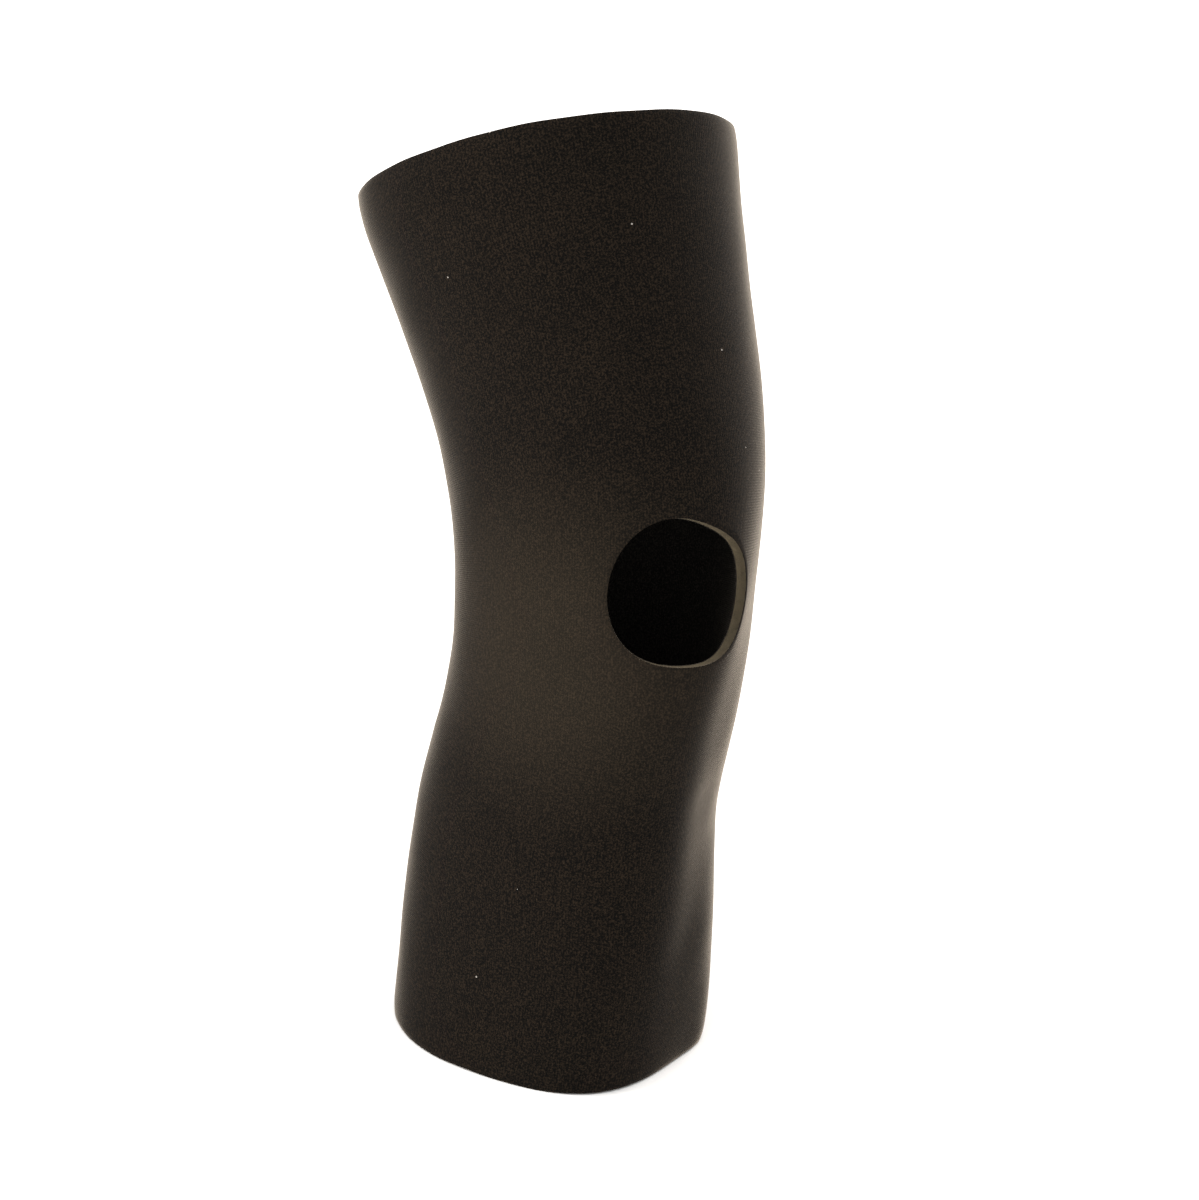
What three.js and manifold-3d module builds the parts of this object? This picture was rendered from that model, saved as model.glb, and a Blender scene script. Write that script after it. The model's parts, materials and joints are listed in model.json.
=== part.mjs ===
// Pull-on knee sleeve: a neoprene tube, cut from one flat panel and joined down the back of the leg,
// with an open oval over the kneecap. The panel is a laminate of jersey, foam and lining.
//
// Millimetres, +Z up, the kneecap faces -Y and +X is to the left when the wearer looks ahead.
// "along" runs down the middle of the leg: 0 at the kneecap, positive up the thigh.
// "angle" runs round the leg: 0 at the front, positive towards +X.
// "depth" goes in from the outer skin of the sleeve.
import * as THREE from 'three';
import { mergeVertices } from 'three/addons/utils/BufferGeometryUtils.js';
import Module from 'manifold-3d';

const wasm = await Module();
wasm.setup();

// Driving dimensions.
const thighRim = 162;                 // along, at the upper cut edge
const shinRim = -177;                 // along, at the lower cut edge
const restFlexion = THREE.MathUtils.degToRad(32);
const bendHalf = 62;                  // half the length of leg that the bend is spread over
const kneeHalf = 60;                  // half the length of the zone that flexes
const zoneGap = 0.3;                  // between the zones that each layer is modelled in

const jersey = 0.4;                   // thicknesses of the 5 mm laminate, outside to inside
const foam = 4.0;
const lining = 0.4;
const bond = 0.1;                     // adhesive film between two layers

const seamHalf = 0.0085;              // angle from the back seam's middle to the panel's cut edge
const cementHalf = 0.0028;
const stitchWidth = 5;                // zigzag across the seam
const stitchHeight = 0.5;
const stitchEnd = 8;                  // the stitching stops this far from each cut edge
const bartackWidth = 8;
const bartackLength = 3;
const bartackHeight = 0.9;
const clearance = 0.3;                // between the laminate and what is sewn on it

// Girth and shape of the leg: along, girth, share deeper than wide, three-cornered share,
// and the section's shift towards +X and towards the back.
const sections = [
  [-177, 376, 0.005, 0.025, -13.0, 4.5],
  [-130, 387, 0.025, 0.045, -7.5, 7.0],
  [-88, 367, 0.035, 0.04, -5.0, 10.0],
  [-45, 361, 0.04, 0.03, 0.0, 5.5],
  [0, 368, 0.045, 0.015, 3.5, -0.5],
  [45, 389, 0.04, 0.005, 6.0, -6.5],
  [90, 411, 0.03, 0, 5.0, -8.0],
  [130, 441, 0.025, 0, 3.0, -7.0],
  [162, 464, 0.025, 0.005, 2.5, -7.5],
];
const lobeAngle = 0.04;

// The shin bone's edge under the sleeve: along, how far it stands out, and its angle in degrees.
const shinEdge = [
  [-177, 5, 1],
  [-130, 5, 5],
  [-88, 5, 12],
  [-45, 4, 20],
  [0, 2, 24],
  [45, 0, 20],
];
const shinEdgeWidth = 0.2;

// The kneecap under the sleeve, and the oval hole over it.
const kneecap = { height: 5.3, along: 10, across: 2, halfAlong: 28, halfAcross: 26 };
const kneeRadius = 58;                // turns a distance across the kneecap into an angle
const hole = { along: 2, across: 2.5, mean: 24, oval: 3.4, ovalAt: -14, egg: 0.7, eggAt: -12 };
const holeSteps = 48;

const columns = 32;                   // facets round a layer, from one edge of the panel to the other
const rowLength = 15;                 // length of a facet along the leg, at most

// Natural cubic spline through (x, y) points, as a function of x.
function spline(xs, ys) {
  const last = xs.length - 1;
  const upper = new Array(last + 1).fill(0);
  const load = new Array(last + 1).fill(0);
  const bend = new Array(last + 1).fill(0);
  for (let i = 1; i < last; i += 1) {
    const before = xs[i] - xs[i - 1];
    const after = xs[i + 1] - xs[i];
    const turn = (ys[i + 1] - ys[i]) / after - (ys[i] - ys[i - 1]) / before;
    const pivot = 2 * (before + after) - before * upper[i - 1];
    upper[i] = after / pivot;
    load[i] = (6 * turn - before * load[i - 1]) / pivot;
  }
  for (let i = last - 1; i > 0; i -= 1) bend[i] = load[i] - upper[i] * bend[i + 1];
  return (x) => {
    let i = 0;
    while (i < last - 1 && x > xs[i + 1]) i += 1;
    const width = xs[i + 1] - xs[i];
    const a = (xs[i + 1] - x) / width;
    const b = 1 - a;
    const curve = (a ** 3 - a) * bend[i] + (b ** 3 - b) * bend[i + 1];
    return a * ys[i] + b * ys[i + 1] + (curve * width ** 2) / 6;
  };
}

function column(table, index) {
  return spline(table.map((row) => row[0]), table.map((row) => row[index]));
}

const girth = column(sections, 1);
const deeper = column(sections, 2);
const threeCornered = column(sections, 3);
const toSide = column(sections, 4);
const toBack = column(sections, 5);
const edgeHeight = column(shinEdge, 1);
const edgeAngle = column(shinEdge, 2);
const edgeTop = shinEdge[shinEdge.length - 1][0];

function wrapped(angle) {
  return THREE.MathUtils.euclideanModulo(angle + Math.PI, 2 * Math.PI) - Math.PI;
}

function bell(distance) {
  return Math.exp(-0.5 * distance ** 2);
}

// Distance from the section's centre to the outer skin.
function skinRadius(along, angle) {
  const mean = girth(along) / (2 * Math.PI);
  const oval = deeper(along) * Math.cos(2 * angle);
  const lobes = threeCornered(along) * Math.cos(3 * (angle - lobeAngle));
  const fromEdge = wrapped(angle - THREE.MathUtils.degToRad(edgeAngle(Math.min(along, edgeTop))));
  const edge = along < edgeTop ? edgeHeight(along) * bell(fromEdge / shinEdgeWidth) : 0;
  const up = (along - kneecap.along) / kneecap.halfAlong;
  const across = (wrapped(angle) * kneeRadius - kneecap.across) / kneecap.halfAcross;
  return mean * (1 + oval + lobes) + edge + kneecap.height * bell(Math.hypot(up, across));
}

// The leg's middle line: an upright shin, one arc through the knee, and a straight thigh leaning back.
function middle(along) {
  const bendRadius = (2 * bendHalf) / restFlexion;
  const turned = THREE.MathUtils.clamp((along + bendHalf) / (2 * bendHalf), 0, 1) * restFlexion;
  const below = Math.min(along + bendHalf, 0);
  const above = Math.max(along - bendHalf, 0);
  return {
    y: bendRadius * (1 - Math.cos(turned)) + above * Math.sin(turned),
    z: bendRadius * Math.sin(turned) - bendHalf + above * Math.cos(turned) + below,
    turned,
  };
}

function sleevePoint(along, angle, depth) {
  const radius = skinRadius(along, angle) - depth;
  const back = toBack(along) - radius * Math.cos(angle);
  const { y, z, turned } = middle(along);
  return new THREE.Vector3(
    toSide(along) + radius * Math.sin(angle),
    y + back * Math.cos(turned),
    z - back * Math.sin(turned),
  );
}

// A block bent to the leg: it fills one range each of along, angle and depth.
function bentBlock(range) {
  const [low, high] = range.along;
  const [first, last] = range.angle;
  const [outer, inner] = range.depth;
  const rows = Math.max(1, Math.ceil((high - low) / rowLength));
  const facets = Math.max(1, Math.round(((last - first) / (2 * Math.PI)) * columns));
  const points = [];
  const triangles = [];
  const at = (side, row, step) => (side * (rows + 1) + row) * (facets + 1) + step;
  const quad = (a, b, c, d) => triangles.push(a, b, c, a, c, d);

  for (const depth of [outer, inner]) {
    for (let row = 0; row <= rows; row += 1) {
      for (let step = 0; step <= facets; step += 1) {
        const along = THREE.MathUtils.lerp(low, high, row / rows);
        const angle = THREE.MathUtils.lerp(first, last, step / facets);
        points.push(...sleevePoint(along, angle, depth).toArray());
      }
    }
  }
  for (let row = 0; row < rows; row += 1) {
    for (let step = 0; step < facets; step += 1) {
      quad(at(0, row, step), at(0, row, step + 1), at(0, row + 1, step + 1), at(0, row + 1, step));
      quad(at(1, row, step), at(1, row + 1, step), at(1, row + 1, step + 1), at(1, row, step + 1));
    }
    quad(at(0, row, 0), at(0, row + 1, 0), at(1, row + 1, 0), at(1, row, 0));
    quad(at(0, row, facets), at(1, row, facets), at(1, row + 1, facets), at(0, row + 1, facets));
  }
  for (let step = 0; step < facets; step += 1) {
    quad(at(0, 0, step), at(1, 0, step), at(1, 0, step + 1), at(0, 0, step + 1));
    quad(at(0, rows, step), at(0, rows, step + 1), at(1, rows, step + 1), at(1, rows, step));
  }
  return indexed(points, triangles);
}

function indexed(points, triangles) {
  const geometry = new THREE.BufferGeometry();
  geometry.setAttribute('position', new THREE.Float32BufferAttribute(points, 3));
  geometry.setIndex(triangles);
  return geometry;
}

// The plug that is cut out over the kneecap: an oval that goes straight in through the wall.
function holePlug() {
  const points = [];
  const triangles = [];
  for (const depth of [-10, 15]) {
    for (let step = 0; step < holeSteps; step += 1) {
      const turn = (step / holeSteps) * 2 * Math.PI;
      const oval = hole.oval * Math.cos(2 * (turn - THREE.MathUtils.degToRad(hole.ovalAt)));
      const egg = hole.egg * Math.cos(3 * (turn - THREE.MathUtils.degToRad(hole.eggAt)));
      const radius = hole.mean + oval + egg;
      const along = hole.along + radius * Math.sin(turn);
      const angle = (hole.across + radius * Math.cos(turn)) / kneeRadius;
      points.push(...sleevePoint(along, angle, depth).toArray());
    }
    points.push(...sleevePoint(hole.along, hole.across / kneeRadius, depth).toArray());
  }
  const inner = holeSteps + 1;
  for (let step = 0; step < holeSteps; step += 1) {
    const next = (step + 1) % holeSteps;
    triangles.push(holeSteps, step, next);
    triangles.push(inner + holeSteps, inner + next, inner + step);
    triangles.push(step, inner + step, inner + next, step, inner + next, next);
  }
  return indexed(points, triangles);
}

function toManifold(geometry) {
  const merged = mergeVertices(geometry, 1e-5);
  return new wasm.Manifold(new wasm.Mesh({
    numProp: 3,
    vertProperties: new Float32Array(merged.attributes.position.array),
    triVerts: new Uint32Array(merged.index.array),
  }));
}

function withHole(geometry) {
  const cut = toManifold(geometry).subtract(toManifold(holePlug())).getMesh();
  return indexed(Array.from(cut.vertProperties), Array.from(cut.triVerts));
}

const fabricBlack = new THREE.MeshStandardMaterial({ color: 0x2a2622, roughness: 0.9, metalness: 0 });
const foamGrey = new THREE.MeshStandardMaterial({ color: 0x4d463a, roughness: 0.85, metalness: 0 });
const liningBlack = new THREE.MeshStandardMaterial({ color: 0x1f1d1b, roughness: 0.9, metalness: 0 });
const cementBlack = new THREE.MeshStandardMaterial({ color: 0x191714, roughness: 0.5, metalness: 0 });
const threadBlack = new THREE.MeshStandardMaterial({ color: 0x33302c, roughness: 0.6, metalness: 0 });
const labelWhite = new THREE.MeshStandardMaterial({ color: 0xe9e6df, roughness: 0.7, metalness: 0 });

const sleeve = new THREE.Group();

function add(name, geometry, material) {
  const mesh = new THREE.Mesh(geometry, material);
  mesh.name = name;
  sleeve.add(mesh);
}

const zones = [
  { name: 'shin', along: [shinRim, -kneeHalf - zoneGap / 2] },
  { name: 'knee', along: [-kneeHalf + zoneGap / 2, kneeHalf - zoneGap / 2] },
  { name: 'thigh', along: [kneeHalf + zoneGap / 2, thighRim] },
];
const foamTop = jersey + bond;
const liningTop = foamTop + foam + bond;
const innerSkin = liningTop + lining;
const layers = [
  { name: 'outer_jersey', depth: [0, jersey], material: fabricBlack },
  { name: 'foam_core', depth: [foamTop, foamTop + foam], material: foamGrey },
  { name: 'inner_lining', depth: [liningTop, innerSkin], material: liningBlack },
];

// The panel wraps from one side of the back seam round the front to the other side.
function addPanel() {
  const panel = [-Math.PI + seamHalf, Math.PI - seamHalf];
  for (const layer of layers) {
    for (const zone of zones) {
      const shell = bentBlock({ along: zone.along, angle: panel, depth: layer.depth });
      const finished = zone.name === 'knee' ? withHole(shell) : shell;
      add(`${layer.name}_${zone.name}`, finished, layer.material);
    }
  }
}

// An angle range of a given width round the back seam, or beside it.
function atSeam(width, shift = 0) {
  const radius = 62;
  return [Math.PI + (shift - width / 2) / radius, Math.PI + (shift + width / 2) / radius];
}

// The seam down the back: cement between the panel's butted edges, and a zigzag row on each face.
function addSeam() {
  for (const zone of zones) {
    const low = Math.max(zone.along[0], shinRim + stitchEnd);
    const high = Math.min(zone.along[1], thighRim - stitchEnd);
    const cement = [Math.PI - cementHalf, Math.PI + cementHalf];
    add(`seam_cement_${zone.name}`, bentBlock({
      along: zone.along,
      angle: cement,
      depth: [foamTop, foamTop + foam],
    }), cementBlack);
    add(`outer_seam_thread_${zone.name}`, bentBlock({
      along: [low, high],
      angle: atSeam(stitchWidth),
      depth: [-clearance - stitchHeight, -clearance],
    }), threadBlack);
    add(`inner_seam_thread_${zone.name}`, bentBlock({
      along: [low, high],
      angle: atSeam(stitchWidth),
      depth: [innerSkin + clearance, innerSkin + clearance + stitchHeight],
    }), threadBlack);
  }
}

// Dense bar tacks lock the seam at both cut edges.
function addBartacks() {
  const reach = stitchEnd - 1;
  const places = {
    bartack_bottom: [shinRim + reach - bartackLength, shinRim + reach],
    bartack_top: [thighRim - reach, thighRim - reach + bartackLength],
  };
  for (const [name, along] of Object.entries(places)) {
    add(name, bentBlock({
      along,
      angle: atSeam(bartackWidth),
      depth: [-clearance - bartackHeight, -clearance],
    }), threadBlack);
  }
}

// A blank folded label inside the top of the back, beside the seam, with its row of stitches.
function addLabel() {
  const label = { width: 22, length: 30, below: 5, beside: 17, thickness: 0.4, stitchLength: 2 };
  const top = thighRim - label.below;
  const face = innerSkin + 2 * clearance;
  add('care_label', bentBlock({
    along: [top - label.length, top],
    angle: atSeam(label.width, -label.beside),
    depth: [face, face + label.thickness],
  }), labelWhite);
  add('care_label_stitches', bentBlock({
    along: [top - 2 * label.stitchLength, top - label.stitchLength],
    angle: atSeam(label.width - 2, -label.beside),
    depth: [face + label.thickness + clearance, face + label.thickness + clearance + stitchHeight],
  }), threadBlack);
}

addPanel();
addSeam();
addBartacks();
addLabel();

// The sleeve stands on its lower cut edge, centred on the origin.
const box = new THREE.Box3().setFromObject(sleeve);
const centre = box.getCenter(new THREE.Vector3());
sleeve.position.set(-centre.x, -centre.y, -box.min.z);

export default sleeve;
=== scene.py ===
# Pull-on knee sleeve in 5 mm neoprene with an open oval over the kneecap.
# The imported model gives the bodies, the knee joint and the boxes; every soft piece is made here.
import json
import bpy
import numpy as np
from mathutils import Matrix, Vector


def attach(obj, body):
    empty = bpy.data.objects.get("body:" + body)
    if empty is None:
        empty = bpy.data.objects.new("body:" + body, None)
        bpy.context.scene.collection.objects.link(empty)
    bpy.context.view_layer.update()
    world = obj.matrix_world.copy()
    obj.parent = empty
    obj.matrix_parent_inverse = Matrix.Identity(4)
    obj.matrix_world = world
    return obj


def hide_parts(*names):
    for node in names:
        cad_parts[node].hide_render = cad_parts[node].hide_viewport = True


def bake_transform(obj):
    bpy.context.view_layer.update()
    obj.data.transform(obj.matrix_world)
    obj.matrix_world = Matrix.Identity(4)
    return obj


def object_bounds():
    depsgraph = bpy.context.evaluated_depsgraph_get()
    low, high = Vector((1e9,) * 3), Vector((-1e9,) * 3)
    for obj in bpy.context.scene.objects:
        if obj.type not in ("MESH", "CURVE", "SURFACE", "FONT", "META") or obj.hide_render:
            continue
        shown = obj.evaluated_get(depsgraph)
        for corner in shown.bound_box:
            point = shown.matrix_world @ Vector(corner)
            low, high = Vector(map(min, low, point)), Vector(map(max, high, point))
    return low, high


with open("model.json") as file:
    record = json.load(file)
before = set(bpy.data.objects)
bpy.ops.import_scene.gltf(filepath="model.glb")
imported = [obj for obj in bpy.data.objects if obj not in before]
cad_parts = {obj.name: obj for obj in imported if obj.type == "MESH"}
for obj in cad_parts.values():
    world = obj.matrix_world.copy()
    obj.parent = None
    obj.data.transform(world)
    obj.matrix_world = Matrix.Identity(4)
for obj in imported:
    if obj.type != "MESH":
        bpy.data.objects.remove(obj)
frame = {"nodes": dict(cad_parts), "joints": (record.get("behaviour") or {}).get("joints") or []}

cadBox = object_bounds()
kneeJoint = frame["joints"][0]
print("frame loaded:", len(frame["nodes"]), "nodes, joint", kneeJoint["name"])


# The leg that shapes the sleeve, in millimetres and radians.
# "along" runs down the middle of the leg, 0 at the kneecap and positive up the thigh,
# "angle" runs round it, 0 at the front and positive towards +X, and "depth" goes in from the outer skin.
legForm = {
    "thighRim": 162.0,
    "shinRim": -177.0,
    "restFlexion": np.radians(32),
    "bendHalf": 62.0,            # half the length of leg that the bend is spread over
    "axisBehind": 18.0,          # the joint's axis lies this far behind the kneecap's middle line
    # along, girth, share deeper than wide, three-cornered share, shift to +X, shift to the back
    "sections": [
        [-177, 368, 0.005, 0.025, -14.0, 4.5],
        [-130, 381, 0.025, 0.045, -7.5, 7.0],
        [-88, 367, 0.035, 0.04, -5.0, 10.0],
        [-45, 361, 0.04, 0.03, 0.0, 5.5],
        [0, 368, 0.045, 0.015, 3.5, -0.5],
        [45, 389, 0.04, 0.005, 6.0, -6.5],
        [90, 411, 0.03, 0, 5.0, -8.0],
        [130, 441, 0.025, 0, 3.0, -7.0],
        [162, 464, 0.025, 0.005, 2.5, -7.5],
    ],
    "lobeAngle": 0.04,
    # the crest from the shin bone up past the kneecap: along, how far it stands out, its angle in
    # degrees, and how deep the flat beside it on the +X side dips
    "crest": [
        [-177, 6.3, -8, 0.9],
        [-130, 3.0, 2.0, 4.9],
        [-88, 5.1, 5.8, 4.0],
        [-60, 5.3, 5.1, 4.2],
        [-30, 6.2, 4.6, 2.9],
        [0, 4.8, 13.7, 1.9],
        [30, 1.2, 15, 0.5],
        [62, 0, 15, 0],
    ],
    "crestWidth": 0.32,
    "dipBeside": np.radians(20.4),
    "dipWidth": 0.27,
    # a soft corner on the calf's outer side, which fades out above the lower rim
    "calfCorner": {"height": 3.9, "angle": np.radians(54), "width": 0.177, "fadesOver": 19.3},
    "kneecap": {"height": 5.3, "along": 10.0, "across": 2.0, "halfAlong": 28.0, "halfAcross": 26.0},
    "kneeRadius": 58.0,          # turns a distance across the kneecap into an angle
}

# The laminate, in millimetres from the outside in.
laminate = {
    "jersey": 0.4,
    "foam": 4.16,
    "lining": 0.4,
    "bond": 0.02,                # adhesive film between two layers
    "seamPull": 0.45,            # the stitching draws the butted edges in this far
    "seamPullHalf": 2.2,         # and this far to each side
    "softness": 0.12,            # faint unevenness of the worn fabric
    "rimCurl": 0.5,              # mm that a cut edge turns in at the very end
    "rimCurlOver": 6.0,          # mm of length that the turn takes
    "rimSwell": 1.4,             # mm that the thigh bulges under the upper rim, most on the -X side
}

kneecapHole = {
    "along": 2.0,
    "across": 2.5,
    "mean": 24.0,
    "oval": 3.4,
    "ovalAt": np.radians(-14),
    "egg": 0.7,
    "eggAt": np.radians(-12),
}


def naturalSpline(xs, ys):
    # natural cubic through the stations: its second derivatives solve one small linear system
    xs, ys = np.asarray(xs, float), np.asarray(ys, float)
    gaps = np.diff(xs)
    system = np.eye(len(xs))
    inner = np.arange(1, len(xs) - 1)
    system[inner, inner - 1] = gaps[:-1]
    system[inner, inner] = 2 * (gaps[:-1] + gaps[1:])
    system[inner, inner + 1] = gaps[1:]
    turns = np.zeros(len(xs))
    turns[1:-1] = 6 * np.diff(np.diff(ys) / gaps)
    bends = np.linalg.solve(system, turns)

    def at(x):
        i = np.clip(np.searchsorted(xs, x, side="right") - 1, 0, len(gaps) - 1)
        a = (xs[i + 1] - x) / gaps[i]
        b = 1 - a
        curve = (a**3 - a) * bends[i] + (b**3 - b) * bends[i + 1]
        return a * ys[i] + b * ys[i + 1] + curve * gaps[i] ** 2 / 6

    return at


def splineColumns(table):
    rows = np.array(table, float)
    return [naturalSpline(rows[:, 0], rows[:, k]) for k in range(1, rows.shape[1])]


girth, deeper, threeCornered, toSide, toBack = splineColumns(legForm["sections"])
crestHeight, crestAngle, dipDepth = splineColumns(legForm["crest"])
crestTop = legForm["crest"][-1][0]
kneeRadius = legForm["kneeRadius"]
sleeveOrigin = np.array(kneeJoint["pos_m"]) - np.array([0, legForm["axisBehind"], 0]) / 1000


def bell(distance):
    return np.exp(-0.5 * distance**2)


def wrapped(angle):
    return (angle + np.pi) % (2 * np.pi) - np.pi


def skinRadius(along, angle):
    # girth over two pi, times an oval and a three-cornered wave round the leg, plus a ridge for the
    # crest, less a dip beside it, plus the calf's corner and a round bump for the kneecap
    wave = 1 + deeper(along) * np.cos(2 * angle)
    wave = wave + threeCornered(along) * np.cos(3 * (angle - legForm["lobeAngle"]))
    onCrest = np.minimum(along, crestTop)
    past = wrapped(angle - np.radians(crestAngle(onCrest)))
    ridge = crestHeight(onCrest) * bell(past / legForm["crestWidth"])
    ridge = ridge - dipDepth(onCrest) * bell((past - legForm["dipBeside"]) / legForm["dipWidth"])
    ridge = np.where(along < crestTop, ridge, 0)
    calf = legForm["calfCorner"]
    corner = calf["height"] * bell((along - legForm["shinRim"]) / calf["fadesOver"])
    ridge = ridge + corner * bell(wrapped(angle - calf["angle"]) / calf["width"])
    cap = legForm["kneecap"]
    up = (along - cap["along"]) / cap["halfAlong"]
    across = (wrapped(angle) * kneeRadius - cap["across"]) / cap["halfAcross"]
    return girth(along) / (2 * np.pi) * wave + ridge + cap["height"] * bell(np.hypot(up, across))


def relief(along, angle):
    # low waves of worn fabric, faded out at the seam, less the groove that the stitching pulls in,
    # less a square-law turn inwards at each rim, plus a bell-shaped swelling under the upper rim
    waves = np.sin(along / 9.1 + 2.3 * np.sin(3 * angle)) * np.sin(5 * angle + along / 31)
    waves = waves + 0.6 * np.sin(along / 5.3 - 7 * angle) * np.sin(along / 23 + 2 * angle)
    fromSeam = (np.pi - np.abs(wrapped(angle))) * kneeRadius / laminate["seamPullHalf"]
    groove = bell(fromSeam)
    fromRim = np.minimum(legForm["thighRim"] - along, along - legForm["shinRim"])
    curl = np.clip(1 - fromRim / laminate["rimCurlOver"], 0, 1) ** 2
    swell = bell((legForm["thighRim"] - along - 12) / 9) * (0.5 - 0.5 * np.sin(angle)) ** 3
    rims = laminate["rimSwell"] * swell - laminate["rimCurl"] * curl
    return laminate["softness"] * waves * (1 - groove) - laminate["seamPull"] * groove + rims


def surfaceAt(along, angle, depth):
    # the leg's middle line is an upright shin, one arc and a straight thigh; each section is square to it,
    # and a point lies on its section at the skin's radius less the depth. Metres, in the row's frame
    along, angle, depth = np.broadcast_arrays(*(np.asarray(v, float) for v in (along, angle, depth)))
    half, flexion = legForm["bendHalf"], legForm["restFlexion"]
    bendRadius = 2 * half / flexion
    turned = np.clip((along + half) / (2 * half), 0, 1) * flexion
    below = np.minimum(along + half, 0)
    above = np.maximum(along - half, 0)
    y = bendRadius * (1 - np.cos(turned)) + above * np.sin(turned)
    z = bendRadius * np.sin(turned) - half + above * np.cos(turned) + below
    radius = skinRadius(along, angle) + relief(along, angle) - depth
    back = toBack(along) - radius * np.cos(angle)
    point = np.stack([
        toSide(along) + radius * np.sin(angle),
        y + back * np.cos(turned),
        z - back * np.sin(turned),
    ], axis=-1)
    return sleeveOrigin + point / 1000


def makeObject(name, points, faces, uv, material, smoothUnder=50):
    # points (n, 3) in metres, faces as rows of indices, uv one pair for each point, in metres
    mesh = bpy.data.meshes.new(name)
    mesh.from_pydata(points.tolist(), [], [list(f) for block in faces for f in block.tolist()])
    corner = np.empty(len(mesh.loops), np.int32)
    mesh.loops.foreach_get("vertex_index", corner)
    uvLayer = mesh.uv_layers.new(name="flatPanel")
    uvLayer.data.foreach_set("uv", np.asarray(uv, np.float32)[corner].ravel())
    mesh.polygons.foreach_set("use_smooth", np.ones(len(mesh.polygons), bool))
    mesh.set_sharp_from_angle(angle=np.radians(smoothUnder))
    mesh.materials.append(material)
    piece = bpy.data.objects.new(name, mesh)
    bpy.context.scene.collection.objects.link(piece)
    return piece


def linear(hexColour):
    # sRGB hex to linear RGBA
    srgb = np.array([int(hexColour[i:i + 2], 16) for i in (1, 3, 5)]) / 255
    value = np.where(srgb <= 0.04045, srgb / 12.92, ((srgb + 0.055) / 1.055) ** 2.4)
    return (*value.tolist(), 1.0)


def addNode(tree, kind, inputs=(), **settings):
    # one node, its settings, and its inputs as values or links
    node = tree.nodes.new(kind)
    for name, value in settings.items():
        setattr(node, name, value)
    for key, value in dict(inputs).items():
        if isinstance(value, bpy.types.NodeSocket):
            tree.links.new(value, node.inputs[key])
        else:
            node.inputs[key].default_value = value
    return node


def newMaterial(name, **shaderValues):
    material = bpy.data.materials.new(name)
    material.use_nodes = True
    tree = material.node_tree
    shader = tree.nodes["Principled BSDF"]
    for key, value in shaderValues.items():
        shader.inputs[key].default_value = value
    return material, tree, shader


jerseyKnit = {
    "shade": "#060504",          # deep between the loops
    "face": "#271f17",           # on top of the loops
    "kneePatch": "#1c1812",      # added in a patch round one spot on the knee's -X side
    "wale": 0.95,                # mm; real wales 0.5 mm apart are too fine to show, so they are drawn coarser
    "course": 0.8,               # mm, likewise
    "bump": 0.07,                # mm
    "fibre": 0.75,               # mm across one clump of fibres in the speckle
    "roughness": 0.92,
    "specular": 0.08,
    "sheen": 0.95,
    "sheenRoughness": 0.22,
    "sheenTint": "#e6d8c6",
    "lint": 0.34,                # mm across, sparse pale specks
    "lintCell": 19.0,            # mm between places that may hold one
}

liningKnit = {**jerseyKnit, "shade": "#191715", "face": "#34302b", "sheen": 0.6, "lintCell": 60.0}


def waveScale(millimetres):
    # a wave texture's scale for bands this far apart, on coordinates in metres
    return 2 * np.pi / 20 / (millimetres / 1000)


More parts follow.
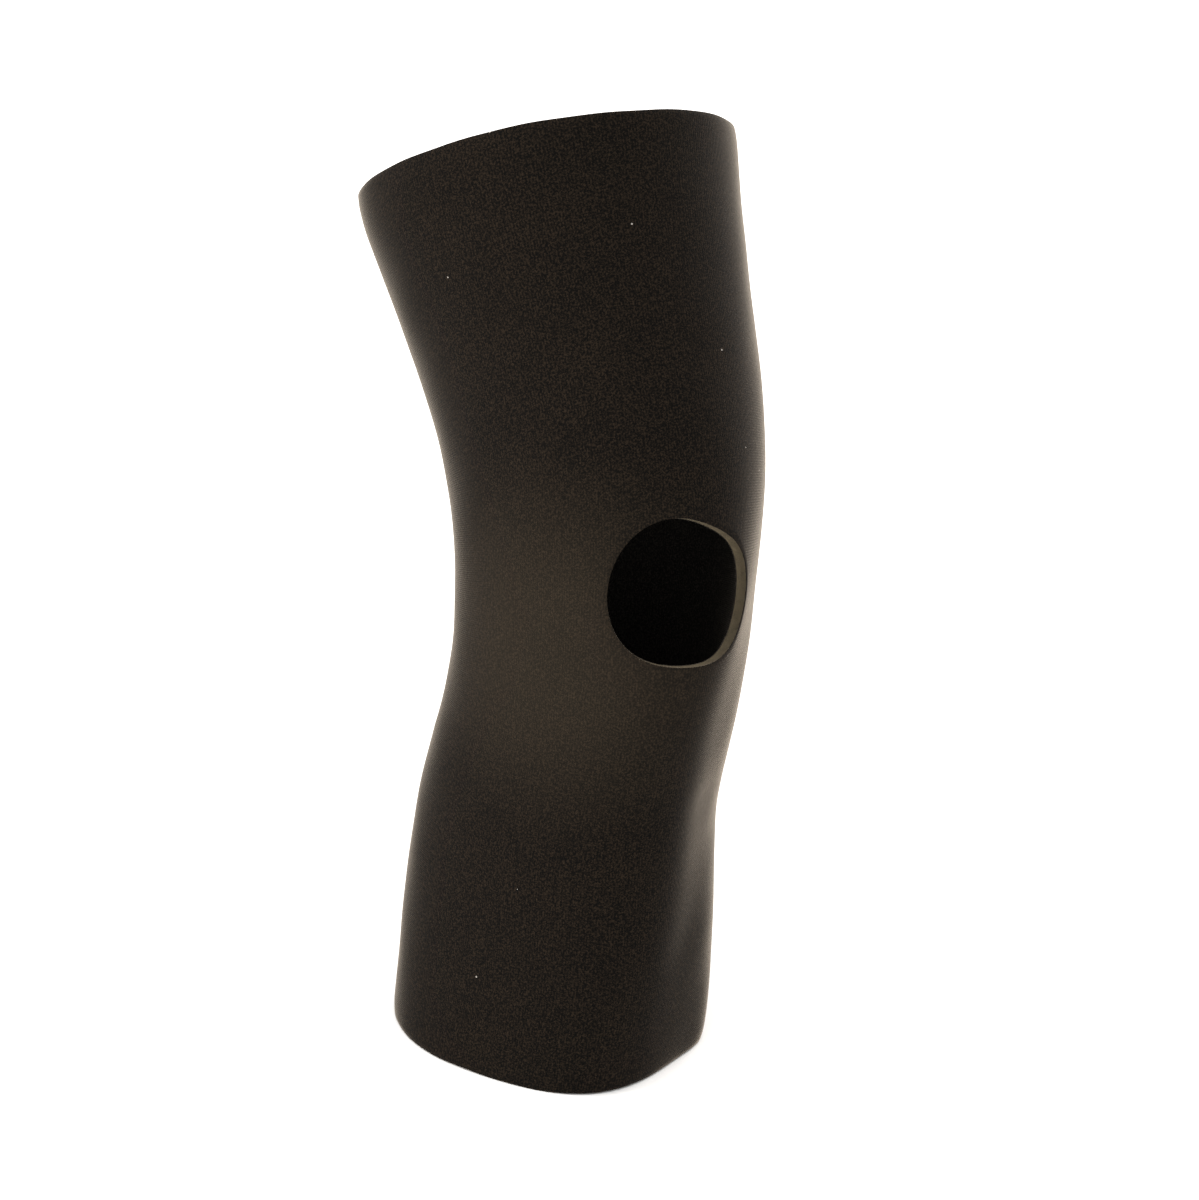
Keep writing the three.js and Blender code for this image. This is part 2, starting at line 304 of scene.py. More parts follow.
def knittedNylonJersey(name, knit):
    # nylon jersey, circular-knitted and bonded to foam: matt and nearly black, with columns of small
    # V loops, a speckle of paler fibres, a warm bloom at grazing angles from the fibres that stand up,
    # a paler patch round one spot on the knee's -X side, and a little pale lint
    material, tree, shader = newMaterial(name, **{
        "Roughness": knit["roughness"],
        "Specular IOR Level": knit["specular"],
        "Sheen Weight": knit["sheen"],
        "Sheen Roughness": knit["sheenRoughness"],
        "Sheen Tint": linear(knit["sheenTint"]),
    })
    around = addNode(tree, "ShaderNodeTexCoord").outputs["Object"]
    flat = addNode(tree, "ShaderNodeUVMap", uv_map="flatPanel").outputs["UV"]
    wales = addNode(tree, "ShaderNodeTexWave", {
        "Vector": flat, "Scale": waveScale(knit["wale"]), "Distortion": 0.8, "Detail": 1.0},
        bands_direction="X").outputs["Fac"]
    slant = addNode(tree, "ShaderNodeMath", {0: wales, 1: np.pi}, operation="MULTIPLY").outputs[0]
    courses = addNode(tree, "ShaderNodeTexWave", {
        "Vector": flat, "Scale": waveScale(knit["course"]), "Distortion": 0.8, "Detail": 1.0,
        "Phase Offset": slant}, bands_direction="Y").outputs["Fac"]
    loops = addNode(tree, "ShaderNodeMath", {0: courses, 1: 0.6, 2: wales}, operation="MULTIPLY_ADD")
    fibre = addNode(tree, "ShaderNodeTexNoise", {
        "Vector": around, "Scale": 1000 / knit["fibre"], "Detail": 3.0, "Roughness": 0.75})
    patches = addNode(tree, "ShaderNodeTexNoise", {"Vector": around, "Scale": 42.0, "Detail": 2.0})

    tone = addNode(tree, "ShaderNodeMath", {
        0: fibre.outputs["Fac"], 1: 5.2, 2: -2.65}, operation="MULTIPLY_ADD").outputs[0]
    tone = addNode(tree, "ShaderNodeMath", {
        0: loops.outputs[0], 1: 0.22, 2: tone}, operation="MULTIPLY_ADD").outputs[0]
    tone = addNode(tree, "ShaderNodeMath", {
        0: patches.outputs["Fac"], 1: 0.25, 2: tone}, operation="MULTIPLY_ADD").outputs[0]
    yarn = addNode(tree, "ShaderNodeMix", {
        "Factor": tone, "A": linear(knit["shade"]), "B": linear(knit["face"])}, data_type="RGBA")
    yarn = yarn.outputs[2]

    # a paler colour added in a patch round one spot on the knee's -X side: full within 12 mm of it, gone
    # beyond 85 mm
    fromKneePatch = addNode(tree, "ShaderNodeVectorMath", {0: around, 1: kneePatchCentre}, operation="DISTANCE")
    kneePatch = addNode(tree, "ShaderNodeMapRange", {
        "Value": fromKneePatch.outputs["Value"], "From Min": 0.085, "From Max": 0.012,
        "To Min": 0.0, "To Max": 1.0}, interpolation_type="SMOOTHSTEP")
    paler = addNode(tree, "ShaderNodeMix", {
        "Factor": kneePatch.outputs[0], "A": yarn, "B": linear(knit["kneePatch"])},
        data_type="RGBA", blend_type="ADD")

    lint = addNode(tree, "ShaderNodeTexVoronoi", {"Vector": around, "Scale": 1000 / knit["lintCell"]})
    onLint = addNode(tree, "ShaderNodeMath", {
        0: lint.outputs["Distance"], 1: knit["lint"] / knit["lintCell"]}, operation="LESS_THAN")
    dusty = addNode(tree, "ShaderNodeMix", {
        "Factor": onLint.outputs[0], "A": paler.outputs[2], "B": linear("#a39d95")}, data_type="RGBA")
    tree.links.new(dusty.outputs[2], shader.inputs["Base Color"])

    rough = addNode(tree, "ShaderNodeMath", {
        0: fibre.outputs["Fac"], 1: 1.6, 2: loops.outputs[0]}, operation="MULTIPLY_ADD")
    bump = addNode(tree, "ShaderNodeBump", {
        "Height": rough.outputs[0], "Distance": knit["bump"] / 1000, "Strength": 0.5})
    tree.links.new(bump.outputs["Normal"], shader.inputs["Normal"])
    return material


foamCut = {
    "cell": "#262219",           # the shaded pores
    "wall": "#5a503e",           # the cell walls
    "pore": 0.3,                 # mm across; real cells of about 0.1 mm are drawn coarser so that they show
    "roughness": 0.85,
    "specular": 0.25,
}


def dieCutNeopreneFoam(name, cut):
    # closed-cell chloroprene foam, sheet-moulded and die-cut: an olive-grey face of tiny opened cells
    material, tree, shader = newMaterial(name, **{
        "Roughness": cut["roughness"],
        "Specular IOR Level": cut["specular"],
    })
    around = addNode(tree, "ShaderNodeTexCoord").outputs["Object"]
    pores = addNode(tree, "ShaderNodeTexVoronoi", {"Vector": around, "Scale": 1000 / cut["pore"]})
    mottle = addNode(tree, "ShaderNodeTexNoise", {"Vector": around, "Scale": 260.0, "Detail": 3.0})
    tone = addNode(tree, "ShaderNodeMath", {
        0: pores.outputs["Distance"], 1: 0.9, 2: mottle.outputs["Fac"]}, operation="MULTIPLY_ADD")
    ramp = addNode(tree, "ShaderNodeValToRGB", {"Fac": tone.outputs[0]})
    ramp.color_ramp.elements[0].position = 0.3
    ramp.color_ramp.elements[0].color = linear(cut["cell"])
    ramp.color_ramp.elements[1].position = 1.0
    ramp.color_ramp.elements[1].color = linear(cut["wall"])
    tree.links.new(ramp.outputs["Color"], shader.inputs["Base Color"])
    bump = addNode(tree, "ShaderNodeBump", {"Height": tone.outputs[0], "Distance": 0.0002, "Strength": 0.8})
    tree.links.new(bump.outputs["Normal"], shader.inputs["Normal"])
    return material


def driedContactCement(name):
    # polychloroprene cement, brushed on and dried: a thin black skin with a slight gloss
    material, tree, shader = newMaterial(name, **{"Roughness": 0.45, "Specular IOR Level": 0.5})
    around = addNode(tree, "ShaderNodeTexCoord").outputs["Object"]
    blobs = addNode(tree, "ShaderNodeTexNoise", {"Vector": around, "Scale": 420.0, "Detail": 2.0})
    ramp = addNode(tree, "ShaderNodeValToRGB", {"Fac": blobs.outputs["Fac"]})
    ramp.color_ramp.elements[0].color = linear("#0f0e0d")
    ramp.color_ramp.elements[1].color = linear("#1d1b19")
    tree.links.new(ramp.outputs["Color"], shader.inputs["Base Color"])
    bump = addNode(tree, "ShaderNodeBump", {
        "Height": blobs.outputs["Fac"], "Distance": 0.0002, "Strength": 0.5})
    tree.links.new(bump.outputs["Normal"], shader.inputs["Normal"])
    return material


def twistedPolyesterThread(name, shade, light):
    # bulked polyester sewing thread, two plies twisted together: slanting stripes with a slight lustre.
    # The thread's own map counts turns across and metres along, so one twist takes 1.1 mm
    material, tree, shader = newMaterial(name, **{
        "Roughness": 0.6, "Specular IOR Level": 0.35,
        "Sheen Weight": 0.15, "Sheen Roughness": 0.4, "Sheen Tint": linear("#e6d8c6")})
    flat = addNode(tree, "ShaderNodeUVMap", uv_map="flatPanel").outputs["UV"]
    place = addNode(tree, "ShaderNodeSeparateXYZ", {"Vector": flat})
    slant = addNode(tree, "ShaderNodeMath", {
        0: place.outputs["Y"], 1: 1 / 0.0011, 2: place.outputs["X"]}, operation="MULTIPLY_ADD")
    plies = addNode(tree, "ShaderNodeMath", {0: slant.outputs[0], 1: 1.0}, operation="PINGPONG")
    ramp = addNode(tree, "ShaderNodeValToRGB", {"Fac": plies.outputs[0]})
    ramp.color_ramp.elements[0].color = linear(shade)
    ramp.color_ramp.elements[1].color = linear(light)
    tree.links.new(ramp.outputs["Color"], shader.inputs["Base Color"])
    bump = addNode(tree, "ShaderNodeBump", {"Height": plies.outputs[0], "Distance": 0.0001, "Strength": 0.7})
    tree.links.new(bump.outputs["Normal"], shader.inputs["Normal"])
    return material


def wovenSatinTape(name):
    # polyester satin tape, woven: off-white, with fine weft ribs that carry painted shade in the grooves
    # between them, a soft gloss, and no print
    material, tree, shader = newMaterial(name, **{
        "Roughness": 0.5, "Specular IOR Level": 0.4, "Sheen Weight": 0.2, "Sheen Roughness": 0.3})
    flat = addNode(tree, "ShaderNodeUVMap", uv_map="flatPanel").outputs["UV"]
    # real ribs are 0.2 mm apart, drawn at 0.5 mm so that they show
    ribs = addNode(tree, "ShaderNodeTexWave", {
        "Vector": flat, "Scale": waveScale(0.5), "Distortion": 0.3}, bands_direction="Y")
    # painted shade: the darker off-white lies in the grooves between the ribs, the paler one on their crests
    ramp = addNode(tree, "ShaderNodeValToRGB", {"Fac": ribs.outputs["Fac"]})
    ramp.color_ramp.elements[0].color = linear("#d8d3c8")
    ramp.color_ramp.elements[1].color = linear("#efece4")
    tree.links.new(ramp.outputs["Color"], shader.inputs["Base Color"])
    bump = addNode(tree, "ShaderNodeBump", {
        "Height": ribs.outputs["Fac"], "Distance": 0.0001, "Strength": 0.5})
    tree.links.new(bump.outputs["Normal"], shader.inputs["Normal"])
    return material


kneePatchCentre = tuple(surfaceAt(-14.0, np.radians(-44), 0.0).tolist())   # the middle of the paler patch, on the knee's -X side
jerseyCloth = knittedNylonJersey("knittedNylonJersey", jerseyKnit)
liningCloth = knittedNylonJersey("knittedNylonLining", liningKnit)
foamFace = dieCutNeopreneFoam("dieCutNeopreneFoam", foamCut)
cementSkin = driedContactCement("driedContactCement")
seamYarn = twistedPolyesterThread("twistedPolyesterThread", "#171513", "#35312c")
labelYarn = twistedPolyesterThread("twistedPolyesterThreadGrey", "#5d5a55", "#8e8a83")
satin = wovenSatinTape("wovenSatinTape")
print("materials ready")


panel = {
    "cell": 1.9,                 # mm between grid lines
    "window": [-38.0, 42.0],     # along: the part of the grid that the ring of cells round the hole fills
    "windowArc": [-46.0, 51.0],  # the same across, measured as an arc at the knee
    "ringRows": 14,
    "buttGap": 0.06,             # mm from the seam's middle to each cut edge
    "rimWobble": 0.35,           # mm that hand trimming leaves in the upper and lower edges
}


def holeRadius(turn):
    # distance from the hole's centre to its edge: a mean, plus an oval and an egg-shaped wave
    oval = kneecapHole["oval"] * np.cos(2 * (turn - kneecapHole["ovalAt"]))
    egg = kneecapHole["egg"] * np.cos(3 * (turn - kneecapHole["eggAt"]))
    return kneecapHole["mean"] + oval + egg


def panelPlan():
    # arc and along of every grid point of the flat panel, and its quads. Inside the window the grid gives
    # way to a ring: point j of ringRows on spoke k is the mix (1 - j/rows) hole edge + (j/rows) window edge
    halfArc = np.pi * kneeRadius - panel["buttGap"]
    low, high = legForm["shinRim"], legForm["thighRim"]
    alongs = np.linspace(low, high, int(round((high - low) / panel["cell"])) + 1)
    arcs = np.linspace(-halfArc, halfArc, int(round(2 * halfArc / panel["cell"])) + 1)
    rowLow, rowHigh = np.searchsorted(alongs, panel["window"])
    first, last = np.searchsorted(arcs, panel["windowArc"])
    arc, along = np.meshgrid(arcs, alongs)
    index = np.arange(arc.size).reshape(arc.shape)
    quads = np.stack([index[:-1, :-1], index[:-1, 1:], index[1:, 1:], index[1:, :-1]], axis=-1)
    keep = np.ones(quads.shape[:2], bool)
    keep[rowLow:rowHigh, first:last] = False
    edge = np.concatenate([
        index[rowLow, first:last],
        index[rowLow:rowHigh, last],
        index[rowHigh, last:first:-1],
        index[rowHigh:rowLow:-1, first],
    ])
    arc, along = arc.ravel(), along.ravel()
    turn = np.arctan2(along[edge] - kneecapHole["along"], arc[edge] - kneecapHole["across"])
    share = (np.arange(panel["ringRows"]) / panel["ringRows"])[:, None]
    ringArc = (1 - share) * (kneecapHole["across"] + holeRadius(turn) * np.cos(turn)) + share * arc[edge]
    ringAlong = (1 - share) * (kneecapHole["along"] + holeRadius(turn) * np.sin(turn)) + share * along[edge]
    ring = arc.size + np.arange(ringArc.size).reshape(ringArc.shape)
    ring = np.vstack([ring, edge])
    after = np.roll(ring, -1, axis=1)
    ringQuads = np.stack([ring[:-1], ring[1:], after[1:], after[:-1]], axis=-1).reshape(-1, 4)
    quads = np.vstack([quads[keep], ringQuads])
    arc = np.concatenate([arc, ringArc.ravel()])
    along = np.concatenate([along, ringAlong.ravel()])
    used, packed = np.unique(quads, return_inverse=True)
    return arc[used], along[used], packed.reshape(-1, 4)


def cutEdges(quads):
    # the directed sides that only one quad has
    sides = np.stack([quads, np.roll(quads, -1, axis=1)], axis=-1).reshape(-1, 2)
    size = quads.max() + 1
    key = sides[:, 0] * size + sides[:, 1]
    back = sides[:, 1] * size + sides[:, 0]
    return sides[~np.isin(key, back)]


planArc, planAlong, planQuads = panelPlan()
planCuts = cutEdges(planQuads)


def onRims(along):
    # the upper and lower edges wander a little, less and less over the 10 mm beside them
    fade = np.maximum(0, 1 - np.minimum(legForm["thighRim"] - along, along - legForm["shinRim"]) / 10)
    return fade


def trimmed(arc, along):
    angle = arc / kneeRadius
    wander = np.sin(3 * angle + 0.8) + 0.7 * np.sin(7 * angle + 2.1) + 0.4 * np.sin(17 * angle)
    inwards = 0.5 * panel["rimWobble"] * (wander + 2.1) * onRims(along)
    return along - np.sign(along) * inwards


def intoMaterial(arc, along):
    # unit direction from an opening into the panel, zero along the back seam
    fromHole = np.stack([arc - kneecapHole["across"], along - kneecapHole["along"]], axis=-1)
    reach = np.linalg.norm(fromHole, axis=-1)
    atHole = reach < holeRadius(np.arctan2(fromHole[:, 1], fromHole[:, 0])) + 0.5
    atRim = onRims(along) > 0.99
    rimwards = np.stack([np.zeros_like(arc), -np.sign(along)], axis=-1)
    return np.where(atHole[:, None], fromHole / reach[:, None], np.where(atRim[:, None], rimwards, 0))


def laminateLayer(name, outer, inner, material, wallRows, hollow, ragged=0.0):
    # closed shell: the plan at the outer depth, the plan at the inner depth turned over, and walls at
    # every cut edge. Across a wall the cut face moves hollow * sin(pi t) into the material
    count = len(planArc)
    rim, rimEdges = np.unique(planCuts, return_inverse=True)
    rimEdges = rimEdges.reshape(-1, 2)
    into = intoMaterial(planArc[rim], planAlong[rim])
    t = (np.arange(1, wallRows) / wallRows)[:, None]
    noise = np.random.default_rng(len(name)).normal(0, ragged, (wallRows - 1, len(rim)))
    move = hollow * np.sin(np.pi * t) + noise
    wallArc = planArc[rim] + move * into[:, 0]
    wallAlong = planAlong[rim] + move * into[:, 1]
    wallDepth = np.broadcast_to(outer + (inner - outer) * t, wallArc.shape)
    arc = np.concatenate([planArc, planArc, wallArc.ravel()])
    along = np.concatenate([planAlong, planAlong, wallAlong.ravel()])
    depth = np.concatenate([np.full(count, outer), np.full(count, inner), wallDepth.ravel()])
    rows = np.vstack([rim, 2 * count + np.arange(wallArc.size).reshape(wallArc.shape), rim + count])
    a, b = rimEdges[:, 0], rimEdges[:, 1]
    walls = np.stack([rows[:-1, b], rows[:-1, a], rows[1:, a], rows[1:, b]], axis=-1).reshape(-1, 4)
    points = surfaceAt(trimmed(arc, along), arc / kneeRadius, depth)
    uv = np.stack([arc, along + depth], axis=-1) / 1000
    return makeObject(name, points, [planQuads, planQuads[:, ::-1] + count, walls], uv, material)


foamTop = laminate["jersey"] + laminate["bond"]
foamFloor = foamTop + laminate["foam"]
liningTop = foamFloor + laminate["bond"]
innerSkin = liningTop + laminate["lining"]
outerJersey = laminateLayer("outerJersey", 0.0, laminate["jersey"], jerseyCloth, 3, -0.16)
foamCore = laminateLayer("foamCore", foamTop, foamFloor, foamFace, 7, 0.32, 0.05)
innerLining = laminateLayer("innerLining", liningTop, innerSkin, liningCloth, 3, -0.12)
print("laminate made: three layers of", len(planQuads), "cells")


seam = {
    "cementHalf": 0.05,          # mm to each side of the seam's middle
    "cementProud": 0.05,         # mm that the cement stands past the foam at the cut edges
    "threadRadius": 0.24,
    "width": 4.6,
    "pitch": 1.5,                # mm along the seam from one needle hole to the next
    "arch": 0.42,                # mm that the thread stands off the cloth between needle holes
    "sink": 0.3,                 # mm that it goes into the cloth at a needle hole
    "end": 8.0,                  # mm from the zigzag's end to the cut edge
    "bartackWidth": 7.4,
    "bartackLength": 3.0,
    "bartackPitch": 0.42,
}


def closedBlock(along, arc, depths):
    # closed shell from two grids, the outer one facing out and the inner one turned over, joined by walls.
    # along and arc are (rows, columns), and depths are the outer and the inner depth
    index = np.arange(along.size).reshape(along.shape)
    quads = np.stack([index[:-1, :-1], index[:-1, 1:], index[1:, 1:], index[1:, :-1]], axis=-1).reshape(-1, 4)
    cuts = cutEdges(quads)
    a, b = cuts[:, 0], cuts[:, 1]
    count = along.size
    walls = np.stack([b, a, a + count, b + count], axis=-1)
    faces = [quads, quads[:, ::-1] + count, walls]
    arcs, alongs = np.tile(arc.ravel(), 2), np.tile(along.ravel(), 2)
    depth = np.repeat(depths, count)
    return alongs, arcs, depth, faces


def seamCementStrip(name):
    # a strip as deep as the foam and a tenth of a millimetre wide, the whole length of the seam
    reach = np.array([legForm["shinRim"], legForm["thighRim"]])
    along, side = np.meshgrid(np.linspace(*reach, 170), [-1, 1], indexing="ij")
    arc = np.pi * kneeRadius + side * seam["cementHalf"]
    alongs, arcs, depth, faces = closedBlock(along, arc, [foamTop + 0.3, foamFloor - 0.3])
    points = surfaceAt(trimmed(arcs, alongs), arcs / kneeRadius, depth)
    uv = np.stack([arcs, alongs], axis=-1) / 1000
    return makeObject(name, points, faces, uv, cementSkin)


def tubeAlong(centre, outward, radius, sides):
    # a round thread: at each point of the path a ring of radius r in the plane of the side vector
    # (path direction x outward) and its own normal, with a cone of triangles closing each end
    path = np.gradient(centre, axis=0)
    path /= np.linalg.norm(path, axis=1)[:, None]
    side = np.cross(path, outward)
    side /= np.linalg.norm(side, axis=1)[:, None]
    top = np.cross(side, path)
    turn = np.arange(sides) / sides * 2 * np.pi
    ring = np.cos(turn)[None, :, None] * side[:, None] + np.sin(turn)[None, :, None] * top[:, None]
    points = (centre[:, None] + radius * ring).reshape(-1, 3)
    index = np.arange(len(points)).reshape(len(centre), sides)
    after = np.roll(index, -1, axis=1)
    quads = np.stack([index[:-1], index[1:], after[1:], after[:-1]], axis=-1).reshape(-1, 4)
    first, last = len(points), len(points) + 1
    ends = centre[[0, -1]] + path[[0, -1]] * np.array([[-radius], [radius]]) * 0.6
    capA = np.stack([np.full(sides, first), index[0], after[0]], axis=-1)
    capB = np.stack([np.full(sides, last), after[-1], index[-1]], axis=-1)
    length = np.concatenate([[0], np.cumsum(np.linalg.norm(np.diff(centre, axis=0), axis=1))])
    uv = np.stack(np.broadcast_arrays(turn[None] / (2 * np.pi), length[:, None]), axis=-1).reshape(-1, 2)
    uv = np.vstack([uv, [[0.5, 0], [0.5, length[-1]]]])
    return np.vstack([points, ends]), [quads, capA, capB], uv


def joinParts(parts):
    # several tubes as one set of points, faces and uv
    points, faces, uvs, count = [], [], [], 0
    for somePoints, someFaces, someUv in parts:
        points.append(somePoints)
        uvs.append(someUv)
        faces += [block + count for block in someFaces]
        count += len(somePoints)
    return np.vstack(points), faces, np.vstack(uvs)


def outwardAt(along, angle):
    # unit normal of the skin, from the middle of the leg outwards
    step = surfaceAt(along, angle, 0.0) - surfaceAt(along, angle, 1.0)
    return step / np.linalg.norm(step, axis=-1)[..., None]


def zigzagThread(low, high, width, pitch, face, out, phase=0.0):
    # t counts needle holes: across is a triangle wave of t, along grows by one pitch for each hole,
    # and the thread arches by |sin(pi t)| between the holes. out is 1 outside the sleeve and -1 inside
    holes = int(round((high - low) / pitch))
    t = np.arange(holes * 7 + 1) / 7
    across = width / 2 * (2 * np.abs((t + phase) % 2 - 1) - 1)
    along = low + t * (high - low) / holes
    lift = (seam["arch"] + seam["sink"]) * np.sqrt(np.abs(np.sin(np.pi * t))) - seam["sink"]
    angle = np.pi + across / kneeRadius
    centre = surfaceAt(along, angle, face - out * lift)
    return tubeAlong(centre, outwardAt(along, angle), seam["threadRadius"] / 1000, 8)


def bartack(name, low):
    # a short dense zigzag, sewn twice over, that locks the seam's end
    high = low + seam["bartackLength"]
    rows = [zigzagThread(low, high, seam["bartackWidth"], seam["bartackPitch"], 0.0, 1.0)]
    rows.append(zigzagThread(low + 0.2, high + 0.2, seam["bartackWidth"] - 0.8, seam["bartackPitch"] * 1.3,
                             -0.35, 1.0, 0.5))
    points, faces, uv = joinParts(rows)
    return makeObject(name, points, faces, uv, seamYarn)


seamLow, seamHigh = legForm["shinRim"] + seam["end"], legForm["thighRim"] - seam["end"]
seamCement = seamCementStrip("seamCement")
outerSeamThread = makeObject(
    "outerSeamThread", *zigzagThread(seamLow, seamHigh, seam["width"], seam["pitch"], 0.0, 1.0), seamYarn)
innerSeamThread = makeObject(
    "innerSeamThread",
    *zigzagThread(seamLow, seamHigh, seam["width"], seam["pitch"], innerSkin, -1.0), seamYarn)
bartackBottom = bartack("bartackBottom", seamLow - 1 - seam["bartackLength"])
bartackTop = bartack("bartackTop", seamHigh + 1)
print("seam sewn")


labelCut = {
    "width": 22.0,
    "length": 29.0,              # folded
    "below": 5.0,                # mm under the upper edge
    "beside": 17.0,              # mm from the seam to the label's middle
    "thickness": 0.16,
    "foldRadius": 0.42,
    "standOff": 0.35,            # mm from the lining at the top
    "curl": 2.2,                 # mm that the fold at the bottom swings away from the lining
    "stitch": 2.1,
    "stitchGap": 0.9,
}
labelTop = legForm["thighRim"] - labelCut["below"]
labelRadius = 70.0               # turns a distance along the label into an angle


def labelProfile():
    # middle line of the folded tape as (drop, stand): down the back ply, half a turn, up the front ply
    drop = np.linspace(0, labelCut["length"], 40)
    swing = labelCut["curl"] * (drop / labelCut["length"]) ** 2.2
    r = labelCut["foldRadius"]
    turn = np.linspace(0, np.pi, 12)[1:-1]
    foldDrop = labelCut["length"] + r * np.sin(turn)
    foldStand = swing[-1] + r - r * np.cos(turn)
    pathDrop = np.concatenate([drop, foldDrop, drop[::-1]])
    pathStand = np.concatenate([swing, foldStand, swing[::-1] + 2 * r])
    return pathDrop, pathStand + labelCut["standOff"]


def careLabelTape(name):
    # the profile carried across the width, offset by half a thickness to each side along its own normal,
    # with a slight bow: the middle of the label stands off a little more than its edges
    drop, stand = labelProfile()
    slope = np.stack([np.gradient(drop), np.gradient(stand)], axis=-1)
    slope /= np.linalg.norm(slope, axis=1)[:, None]
    across = np.linspace(-0.5, 0.5, 25)
    bow = 0.9 * (drop[:, None] / labelCut["length"]) * np.cos(np.pi * across[None])
    half = labelCut["thickness"] / 2
    sheets = []
    for side in (1, -1):
        down = drop + side * half * slope[:, 1]
        off = stand - side * half * slope[:, 0]
        along = labelTop - np.repeat(down[:, None], len(across), axis=1)
        depth = innerSkin + off[:, None] + bow
        arcs = labelCut["width"] * np.repeat(across[None], len(drop), axis=0) - labelCut["beside"]
        sheets.append(surfaceAt(along, np.pi + arcs / labelRadius, depth).reshape(-1, 3))
    count = len(drop) * len(across)
    index = np.arange(count).reshape(len(drop), len(across))
    quads = np.stack([index[:-1, :-1], index[:-1, 1:], index[1:, 1:], index[1:, :-1]], axis=-1).reshape(-1, 4)
    cuts = cutEdges(quads)
    walls = np.stack([cuts[:, 1], cuts[:, 0], cuts[:, 0] + count, cuts[:, 1] + count], axis=-1)
    length = np.concatenate([[0], np.cumsum(np.hypot(np.diff(drop), np.diff(stand)))])
    uv = np.stack(np.broadcast_arrays(across[None] * labelCut["width"], length[:, None]), axis=-1)
    uv = np.tile(uv.reshape(-1, 2) / 1000, (2, 1))
    return makeObject(name, np.vstack(sheets), [quads, quads[:, ::-1] + count, walls], uv, satin)


def labelStitchRow(name):
    # lockstitches side by side: each is a short thread that arches between two needle holes
    step = labelCut["stitch"] + labelCut["stitchGap"]
    count = int((labelCut["width"] - 1) / step)
    stitches = []
    for k in range(count):
        t = np.linspace(0, 1, 9)
        arc = (k - (count - 1) / 2) * step + labelCut["stitch"] * (t - 0.5) - labelCut["beside"]
        lift = 0.3 * np.sqrt(np.sin(np.pi * t)) - 0.15
        along = np.full_like(t, labelTop - 3.0)
        angle = np.pi + arc / labelRadius
        face = innerSkin + labelCut["standOff"] + 2 * labelCut["foldRadius"] + labelCut["thickness"] / 2
        centre = surfaceAt(along, angle, face + lift + 0.1)
        stitches.append(tubeAlong(centre, outwardAt(along, angle), 0.00018, 8))
    points, faces, uv = joinParts(stitches)
    return makeObject(name, points, faces, uv, labelYarn)


careLabel = careLabelTape("careLabel")
careLabelStitches = labelStitchRow("careLabelStitches")
print("label sewn in")


zoneNames = ["shin", "knee", "thigh"]
kneeMiddle = surfaceAt(0.0, np.array([0, 0.5, 1, 1.5]) * np.pi, 0.0).mean(axis=0)

wholeLength = {
    "outer_jersey": (outerJersey, "jersey"),
    "foam_core": (foamCore, "neoprene_foam"),
    "inner_lining": (innerLining, "lining"),
    "seam_cement": (seamCement, "seam_cement"),
    "outer_seam_thread": (outerSeamThread, "thread"),
    "inner_seam_thread": (innerSeamThread, "thread"),
}
for node, (piece, finish) in wholeLength.items():
    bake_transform(piece)
    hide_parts(*[f"{node}_{zone}" for zone in zoneNames])

oneBody = {
    "bartack_bottom": (bartackBottom, "shin", "thread"),
    "bartack_top": (bartackTop, "thigh", "thread"),
    "care_label": (careLabel, "thigh", "label_tape"),
    "care_label_stitches": (careLabelStitches, "thigh", "thread"),
}
for node, (piece, body, finish) in oneBody.items():
    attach(piece, body)
    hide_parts(node)

# The panel is cut 12 % narrower than the leg it goes on, and tapers from the thigh to the calf.
print("pieces joined to their bodies")


studio = {
    "floorColour": "#fafaf9",
    "floorHalf": 8.0,
    "air": 1.05,                 # strength of the even light from all round
    "airColour": "#ffffff",
}


def paintedStudioFloor(name):
    # matt white paint, rolled on: plain and pale
    material, tree, shader = newMaterial(name, **{"Roughness": 0.9, "Specular IOR Level": 0.1})
    around = addNode(tree, "ShaderNodeTexCoord").outputs["Object"]
    grain = addNode(tree, "ShaderNodeTexNoise", {"Vector": around, "Scale": 3.0})
    ramp = addNode(tree, "ShaderNodeValToRGB", {"Fac": grain.outputs["Fac"]})
    ramp.color_ramp.elements[0].color = linear("#f8f8f7")
    ramp.color_ramp.elements[1].color = linear(studio["floorColour"])
    tree.links.new(ramp.outputs["Color"], shader.inputs["Base Color"])
    return material


def studioFloor():
    half = studio["floorHalf"]
    corners = np.array([[-half, -half, 0], [half, -half, 0], [half, half, 0], [-half, half, 0]])
    corners[:, 2] = cadBox[0][2] - 0.0002
    quad = [np.array([[0, 1, 2, 3]])]
    return makeObject("studioFloor", corners, quad, corners[:, :2], paintedStudioFloor("paintedStudioFloor"))


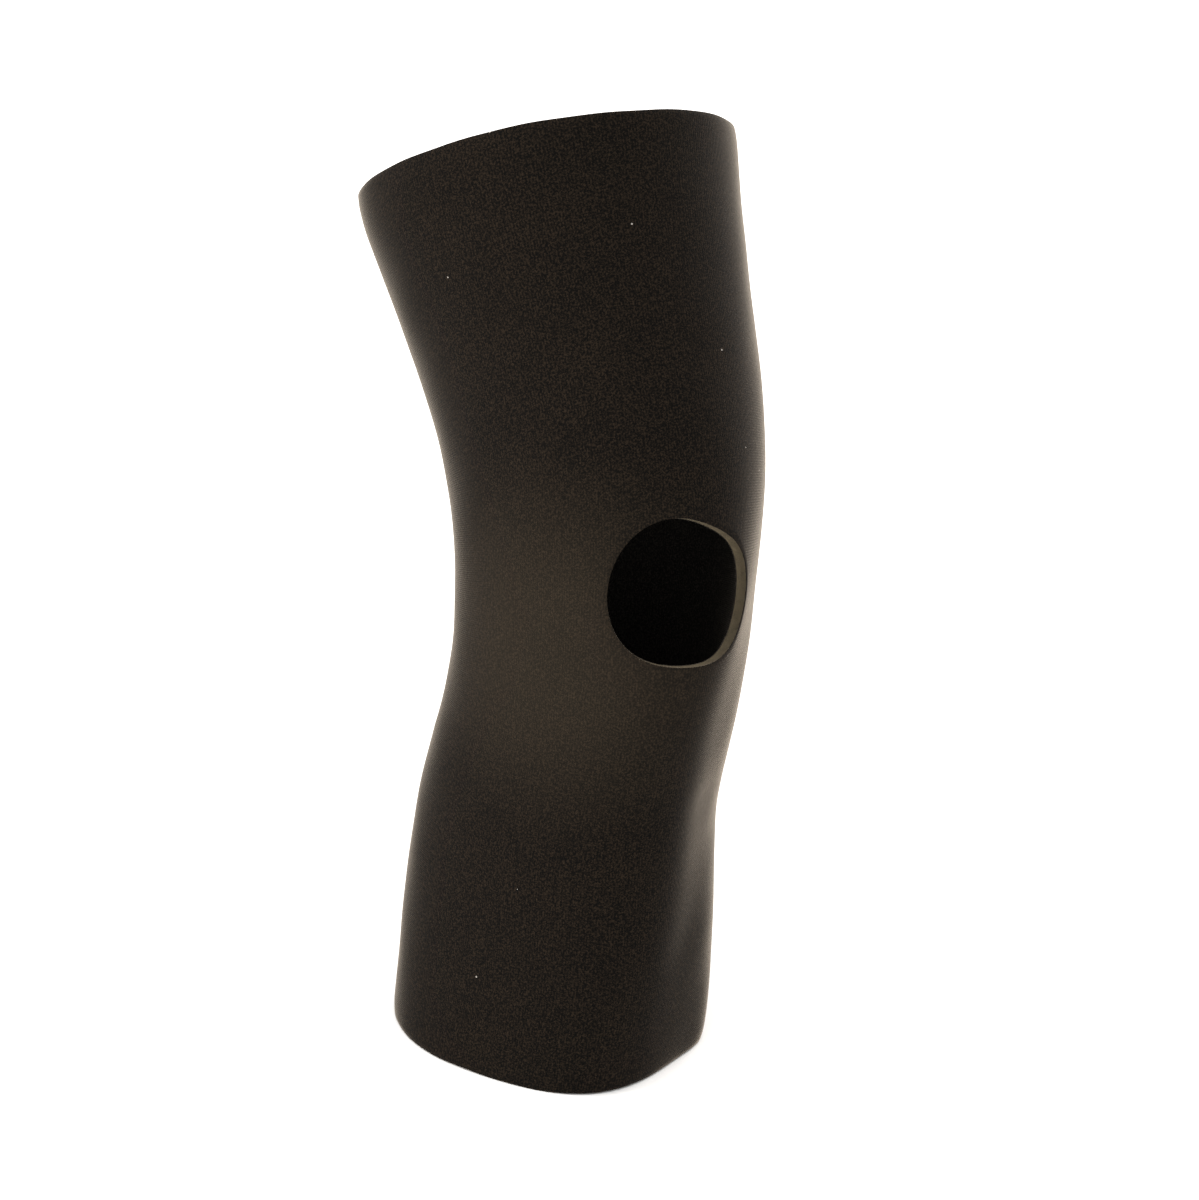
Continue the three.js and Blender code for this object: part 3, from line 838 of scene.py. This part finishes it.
def softbox(name, place, aim, width, height, power, colour):
    lamp = bpy.data.lights.new(name, "AREA")
    lamp.shape = "RECTANGLE"
    lamp.size, lamp.size_y = width, height
    lamp.energy = power
    lamp.color = linear(colour)[:3]
    holder = bpy.data.objects.new(name, lamp)
    bpy.context.scene.collection.objects.link(holder)
    holder.location = place
    holder.rotation_euler = (Vector(aim) - Vector(place)).to_track_quat("-Z", "Y").to_euler()


studioFloor()
middleOfSleeve = (0, 0, 0.19)
softbox("softboxRight", (1.5, 0.75, 0.75), middleOfSleeve, 1.0, 1.6, 38, "#fff7f0")
softbox("softboxLeft", (-1.6, 0.5, 0.9), middleOfSleeve, 1.0, 1.4, 30, "#fff9f4")
softbox("softboxTop", (-0.2, -0.4, 2.0), middleOfSleeve, 1.4, 1.4, 9, "#ffffff")
world = bpy.data.worlds.new("studioAir")
world.use_nodes = True
world.node_tree.nodes["Background"].inputs["Color"].default_value = linear(studio["airColour"])
world.node_tree.nodes["Background"].inputs["Strength"].default_value = studio["air"]
bpy.context.scene.world = world
bpy.context.scene.view_settings.view_transform = "Standard"

viewpoint = {
    "azimuth": -24.5,
    "elevation": 21.85,
    "roll": 3.0,                 # degrees that the picture leans
    "distance": 2.0,
    "slideRight": -0.003,        # metres, to frame the sleeve
    "slideUp": -0.0021,
    "lens": 159.7,
}


def placeCamera():
    # back, right and up of a camera at the given azimuth and elevation about the kneecap, then rolled
    azimuth, elevation, roll = (np.radians(viewpoint[k]) for k in ("azimuth", "elevation", "roll"))
    back = np.array([
        np.sin(azimuth) * np.cos(elevation),
        -np.cos(azimuth) * np.cos(elevation),
        np.sin(elevation),
    ])
    right = np.array([np.cos(azimuth), np.sin(azimuth), 0])
    up = np.cross(back, right)
    right, up = np.cos(roll) * right + np.sin(roll) * up, np.cos(roll) * up - np.sin(roll) * right
    lens = bpy.data.cameras.new("studioCamera")
    lens.lens = viewpoint["lens"]
    lens.sensor_width = 36
    camera = bpy.data.objects.new("studioCamera", lens)
    place = sleeveOrigin + viewpoint["distance"] * back
    place = place + viewpoint["slideRight"] * right + viewpoint["slideUp"] * up
    turned = Matrix(np.column_stack([right, up, back]).tolist()).to_4x4()
    camera.matrix_world = Matrix.Translation(place.tolist()) @ turned
    bpy.context.scene.collection.objects.link(camera)
    bpy.context.scene.camera = camera


placeCamera()
print("studio ready")

bpy.context.view_layer.update()
